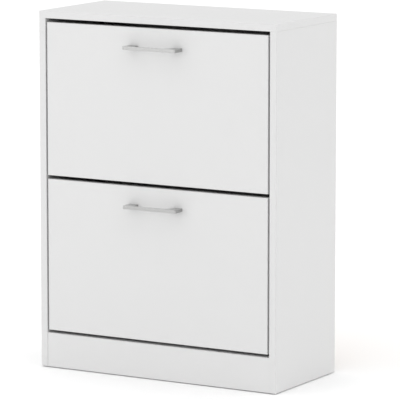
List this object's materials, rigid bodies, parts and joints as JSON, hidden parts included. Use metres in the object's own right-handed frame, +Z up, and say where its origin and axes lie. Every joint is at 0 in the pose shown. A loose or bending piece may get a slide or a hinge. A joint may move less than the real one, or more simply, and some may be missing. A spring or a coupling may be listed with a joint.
{
  "type": "shoe cabinet",
  "caption": "Slim white shoe cabinet with tip-out flaps, bow handles and a plinth; racks on the flaps hold shoes in rows.",
  "frame": {"origin": "on the floor under the middle of the footprint, handles included", "axes": "+X to the right seen from the front, +Y from the front to the wall, +Z up; the flaps face -Y"},
  "size_m": [0.6, 0.302, 0.802],
  "materials": {
    "white_board": "white melamine on particleboard, satin",
    "edge_band": "white plastic edge band, satin",
    "back_board": "white lacquered fibreboard, matte",
    "rack_board": "graphite coated hardboard, satin",
    "rack_plastic": "graphite, moulded, fine texture",
    "white_plastic": "moulded, fine texture",
    "grey_plastic": "moulded, satin",
    "satin_metal": "satin silver grey",
    "zinc_plate": "bright zinc plated",
    "beech": "bare fluted beech"
  },
  "bodies": {
    "carcass": {"left_side_panel": "white_board", "right_side_panel": "white_board", "top_panel": "white_board", "bottom_panel": "white_board", "plinth_board": "white_board", "middle_rail": "white_board", "back_panel": "back_board", "side_edge_bands": "edge_band", "top_edge_bands": "edge_band", "plinth_edge_band": "edge_band", "rail_edge_band": "edge_band", "cam_locks": "zinc_plate", "cam_bolts": "zinc_plate", "wood_dowels": "beech", "cam_cover_caps": "white_plastic", "back_panel_nails": "zinc_plate", "floor_glides": "grey_plastic", "wall_brackets": "zinc_plate", "wall_bracket_screws": "zinc_plate", "upper_pivot_bushes": "grey_plastic", "lower_pivot_bushes": "grey_plastic", "upper_stop_pins": "grey_plastic", "lower_stop_pins": "grey_plastic"},
    "upper_flap": {"upper_door_panel": "white_board", "upper_door_edge_bands": "edge_band", "upper_handle": "satin_metal", "upper_handle_screws": "zinc_plate", "upper_left_wing": "rack_plastic", "upper_right_wing": "rack_plastic", "upper_wing_screws": "zinc_plate", "upper_front_rack": "rack_board", "upper_front_toe_rest": "rack_board", "upper_rear_rack": "rack_board", "upper_rear_toe_rest": "rack_board"},
    "lower_flap": {"lower_door_panel": "white_board", "lower_door_edge_bands": "edge_band", "lower_handle": "satin_metal", "lower_handle_screws": "zinc_plate", "lower_left_wing": "rack_plastic", "lower_right_wing": "rack_plastic", "lower_wing_screws": "zinc_plate", "lower_front_rack": "rack_board", "lower_front_toe_rest": "rack_board", "lower_rear_rack": "rack_board", "lower_rear_toe_rest": "rack_board"}
  },
  "joints": [
    {"name": "upper_flap_hinge", "type": "hinge", "parent": "carcass", "child": "upper_flap", "pos_m": [0, -0.1, 0.47825], "axis": [1, 0, 0], "range_deg": [0, 55]},
    {"name": "lower_flap_hinge", "type": "hinge", "parent": "carcass", "child": "lower_flap", "pos_m": [0, -0.1, 0.1285], "axis": [1, 0, 0], "range_deg": [0, 55]}
  ]
}
